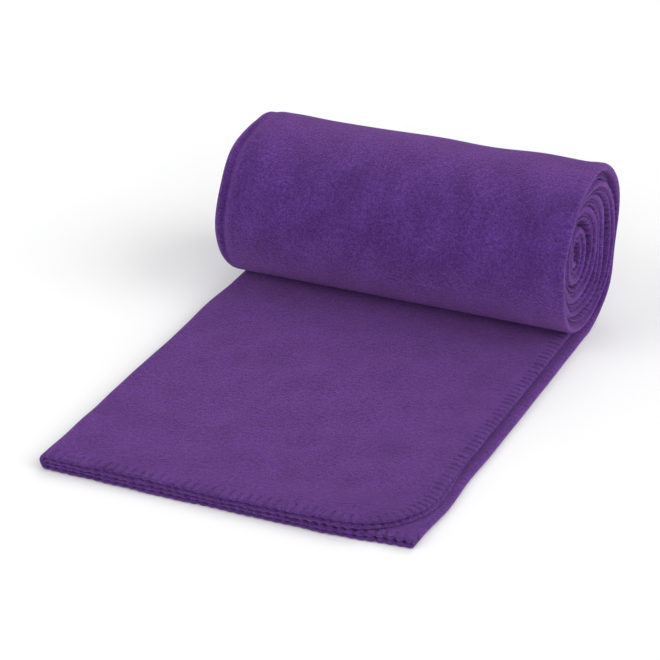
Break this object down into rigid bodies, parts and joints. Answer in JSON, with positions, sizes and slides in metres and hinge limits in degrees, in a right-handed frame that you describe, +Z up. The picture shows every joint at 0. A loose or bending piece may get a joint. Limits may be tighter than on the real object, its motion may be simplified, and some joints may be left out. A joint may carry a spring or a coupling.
{
  "type": "folded travel towel",
  "caption": "Thick pile travel towel or throw with an overlock stitched edge, folded lengthwise into layers and part rolled up, its free end lying flat.",
  "frame": {"origin": "middle of the object's footprint, on the surface that it lies on", "axes": "+X along the roll to the open-edge side, +Y from the flap's free end to the roll, +Z up"},
  "size_m": [0.333, 0.4756, 0.159],
  "materials": {
    "pile_cloth": "matt brushed pile with a soft sheen",
    "edge_thread": "soft spun thread, slightly lighter than the cloth"
  },
  "bodies": {
    "roll": {"roll_base": "pile_cloth", "roll_base_thread": "edge_thread", "roll_turn_1": "pile_cloth", "roll_turn_2": "pile_cloth", "roll_turn_3": "pile_cloth", "roll_turn_4": "pile_cloth", "roll_turn_thread_1": "edge_thread", "roll_turn_thread_2": "edge_thread", "roll_turn_thread_3": "edge_thread", "roll_turn_thread_4": "edge_thread", "roll_core": "pile_cloth", "roll_core_thread": "edge_thread", "roll_core_end_thread": "edge_thread"},
    "strip_01": {"flap_strip_01": "pile_cloth", "flap_side_thread_01": "edge_thread"},
    "strip_02": {"flap_strip_02": "pile_cloth", "flap_side_thread_02": "edge_thread"},
    "strip_03": {"flap_strip_03": "pile_cloth", "flap_side_thread_03": "edge_thread"},
    "strip_04": {"flap_strip_04": "pile_cloth", "flap_side_thread_04": "edge_thread"},
    "strip_05": {"flap_strip_05": "pile_cloth", "flap_side_thread_05": "edge_thread"},
    "strip_06": {"flap_strip_06": "pile_cloth", "flap_side_thread_06": "edge_thread"},
    "strip_07": {"flap_strip_07": "pile_cloth", "flap_side_thread_07": "edge_thread"},
    "strip_08": {"flap_strip_08": "pile_cloth", "flap_side_thread_08": "edge_thread"},
    "strip_09": {"flap_strip_09": "pile_cloth", "flap_side_thread_09": "edge_thread"},
    "strip_10": {"flap_strip_10": "pile_cloth", "flap_side_thread_10": "edge_thread"},
    "strip_11": {"flap_strip_11": "pile_cloth", "flap_side_thread_11": "edge_thread"},
    "strip_12": {"flap_strip_12": "pile_cloth", "flap_side_thread_12": "edge_thread"},
    "strip_13": {"flap_strip_13": "pile_cloth", "flap_side_thread_13": "edge_thread", "flap_end_thread": "edge_thread"}
  },
  "joints": [
    {"name": "wind_01", "type": "hinge", "parent": "roll", "child": "strip_01", "pos_m": [0, 0.10595, 0.0138], "axis": [-1, 0, 0], "range_deg": [0, 48.22]},
    {"name": "wind_02", "type": "hinge", "parent": "strip_01", "child": "strip_02", "pos_m": [0, 0.07951, 0.0138], "axis": [-1, 0, 0], "range_deg": [0, 17.93]},
    {"name": "wind_03", "type": "hinge", "parent": "strip_02", "child": "strip_03", "pos_m": [0, 0.05306, 0.0138], "axis": [-1, 0, 0], "range_deg": [0, 17.93]},
    {"name": "wind_04", "type": "hinge", "parent": "strip_03", "child": "strip_04", "pos_m": [0, 0.02661, 0.0138], "axis": [-1, 0, 0], "range_deg": [0, 17.93]},
    {"name": "wind_05", "type": "hinge", "parent": "strip_04", "child": "strip_05", "pos_m": [0, 0.00017, 0.0138], "axis": [-1, 0, 0], "range_deg": [0, 17.93]},
    {"name": "wind_06", "type": "hinge", "parent": "strip_05", "child": "strip_06", "pos_m": [0, -0.02628, 0.0138], "axis": [-1, 0, 0], "range_deg": [0, 17.93]},
    {"name": "wind_07", "type": "hinge", "parent": "strip_06", "child": "strip_07", "pos_m": [0, -0.05272, 0.0138], "axis": [-1, 0, 0], "range_deg": [0, 17.93]},
    {"name": "wind_08", "type": "hinge", "parent": "strip_07", "child": "strip_08", "pos_m": [0, -0.07917, 0.0138], "axis": [-1, 0, 0], "range_deg": [0, 17.93]},
    {"name": "wind_09", "type": "hinge", "parent": "strip_08", "child": "strip_09", "pos_m": [0, -0.10562, 0.0138], "axis": [-1, 0, 0], "range_deg": [0, 17.93]},
    {"name": "wind_10", "type": "hinge", "parent": "strip_09", "child": "strip_10", "pos_m": [0, -0.13206, 0.0138], "axis": [-1, 0, 0], "range_deg": [0, 17.93]},
    {"name": "wind_11", "type": "hinge", "parent": "strip_10", "child": "strip_11", "pos_m": [0, -0.15851, 0.0138], "axis": [-1, 0, 0], "range_deg": [0, 17.93]},
    {"name": "wind_12", "type": "hinge", "parent": "strip_11", "child": "strip_12", "pos_m": [0, -0.18496, 0.0138], "axis": [-1, 0, 0], "range_deg": [0, 17.93]},
    {"name": "wind_13", "type": "hinge", "parent": "strip_12", "child": "strip_13", "pos_m": [0, -0.2114, 0.0138], "axis": [-1, 0, 0], "range_deg": [0, 17.93]}
  ],
  "couplings": [
    {"joint": "wind_02", "follows": "wind_01", "ratio": 0.37183},
    {"joint": "wind_03", "follows": "wind_01", "ratio": 0.37183},
    {"joint": "wind_04", "follows": "wind_01", "ratio": 0.37183},
    {"joint": "wind_05", "follows": "wind_01", "ratio": 0.37183},
    {"joint": "wind_06", "follows": "wind_01", "ratio": 0.37183},
    {"joint": "wind_07", "follows": "wind_01", "ratio": 0.37183},
    {"joint": "wind_08", "follows": "wind_01", "ratio": 0.37183},
    {"joint": "wind_09", "follows": "wind_01", "ratio": 0.37183},
    {"joint": "wind_10", "follows": "wind_01", "ratio": 0.37183},
    {"joint": "wind_11", "follows": "wind_01", "ratio": 0.37183},
    {"joint": "wind_12", "follows": "wind_01", "ratio": 0.37183},
    {"joint": "wind_13", "follows": "wind_01", "ratio": 0.37183}
  ]
}
